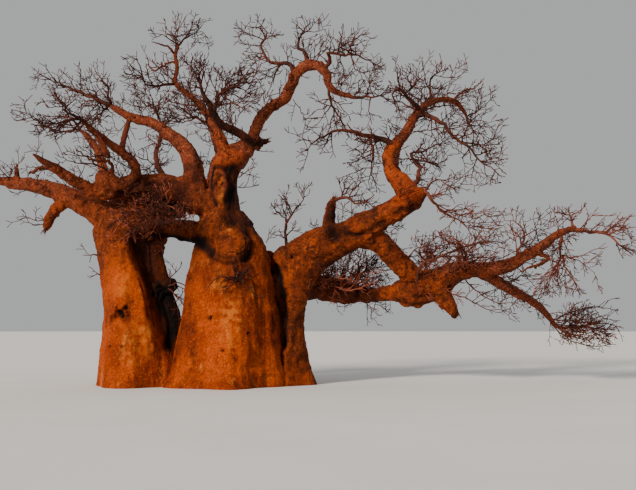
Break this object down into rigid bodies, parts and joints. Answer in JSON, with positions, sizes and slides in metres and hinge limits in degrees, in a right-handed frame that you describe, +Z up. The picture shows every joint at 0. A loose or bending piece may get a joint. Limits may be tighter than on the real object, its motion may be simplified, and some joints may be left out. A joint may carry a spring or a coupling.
{
  "type": "baobab tree",
  "caption": "Bare baobab tree with swollen fused stems, crooked tapering boughs and masses of fine twigs, rooted in level ground.",
  "frame": {"origin": "on the flat cut at ground level, under the main stem", "axes": "+Z up; +X along the crown's longest way, from the short western bough to the long low eastern one; the front seen in the picture faces -Y"},
  "size_m": [19.6558, 6.8076, 10.9781],
  "materials": {
    "main_stem": "matt",
    "west_stem": "matt",
    "east_stem": "matt",
    "leader": "matt",
    "crossing_bough": "matt",
    "west_bough": "matt",
    "bridge_bough": "matt",
    "east_bough": "matt",
    "curled_limb": "matt",
    "arch_bough": "matt",
    "arch_limb": "matt",
    "red_limb": "matt",
    "dark_limb": "matt",
    "crown_limb": "matt",
    "crown_limb_outer": "matt",
    "east_riser": "matt",
    "east_crown_limb": "matt",
    "prop_bough": "matt",
    "low_bough": "matt",
    "far_bough": "matt",
    "descending_bough": "matt",
    "low_back_bough": "matt",
    "back_bough": "matt",
    "back_east_bough": "matt",
    "back_west_bough": "matt",
    "west_tip_twigs": "matt",
    "arch_twigs": "matt",
    "curled_twigs": "matt",
    "riser_twigs": "matt",
    "clump_west_twigs": "matt",
    "clump_top_twigs": "matt",
    "clump_east_twigs": "matt",
    "top_left_twigs": "matt",
    "left_loop_twigs": "matt",
    "crown_west_twigs": "matt",
    "crown_top_twigs": "matt",
    "crown_east_twigs": "matt",
    "crown_tip_twigs": "matt",
    "crown_hanging_twigs": "matt",
    "east_top_twigs": "matt",
    "east_crest_twigs": "matt",
    "east_right_twigs": "matt",
    "east_droop_twigs": "matt",
    "east_inner_twigs": "matt",
    "east_west_twigs": "matt",
    "elbow_twigs": "matt",
    "low_top_twigs": "matt",
    "low_back_twigs": "matt",
    "far_top_twigs": "matt",
    "far_tip_twigs": "matt",
    "far_low_twigs": "matt",
    "descending_twigs": "matt",
    "hollow_twigs": "matt",
    "front_twigs": "matt",
    "upright_twigs": "matt",
    "arched_twigs": "matt",
    "stem_twigs": "matt",
    "back_twigs": "matt",
    "back_east_twigs": "matt",
    "back_west_twigs": "matt"
  },
  "bodies": {
    "root": {"main_stem": "main_stem", "west_stem": "west_stem", "east_stem": "east_stem", "leader": "leader", "crossing_bough": "crossing_bough", "west_bough": "west_bough", "bridge_bough": "bridge_bough", "east_bough": "east_bough", "curled_limb": "curled_limb", "arch_bough": "arch_bough", "arch_limb": "arch_limb", "red_limb": "red_limb", "dark_limb": "dark_limb", "crown_limb": "crown_limb", "crown_limb_outer": "crown_limb_outer", "east_riser": "east_riser", "east_crown_limb": "east_crown_limb", "prop_bough": "prop_bough", "low_bough": "low_bough", "far_bough": "far_bough", "descending_bough": "descending_bough", "low_back_bough": "low_back_bough", "back_bough": "back_bough", "back_east_bough": "back_east_bough", "back_west_bough": "back_west_bough", "west_tip_twigs": "west_tip_twigs", "arch_twigs": "arch_twigs", "curled_twigs": "curled_twigs", "riser_twigs": "riser_twigs", "clump_west_twigs": "clump_west_twigs", "clump_top_twigs": "clump_top_twigs", "clump_east_twigs": "clump_east_twigs", "top_left_twigs": "top_left_twigs", "left_loop_twigs": "left_loop_twigs", "crown_west_twigs": "crown_west_twigs", "crown_top_twigs": "crown_top_twigs", "crown_east_twigs": "crown_east_twigs", "crown_tip_twigs": "crown_tip_twigs", "crown_hanging_twigs": "crown_hanging_twigs", "east_top_twigs": "east_top_twigs", "east_crest_twigs": "east_crest_twigs", "east_right_twigs": "east_right_twigs", "east_droop_twigs": "east_droop_twigs", "east_inner_twigs": "east_inner_twigs", "east_west_twigs": "east_west_twigs", "elbow_twigs": "elbow_twigs", "low_top_twigs": "low_top_twigs", "low_back_twigs": "low_back_twigs", "far_top_twigs": "far_top_twigs", "far_tip_twigs": "far_tip_twigs", "far_low_twigs": "far_low_twigs", "descending_twigs": "descending_twigs", "hollow_twigs": "hollow_twigs", "front_twigs": "front_twigs", "upright_twigs": "upright_twigs", "arched_twigs": "arched_twigs", "stem_twigs": "stem_twigs", "back_twigs": "back_twigs", "back_east_twigs": "back_east_twigs", "back_west_twigs": "back_west_twigs"}
  },
  "joints": []
}
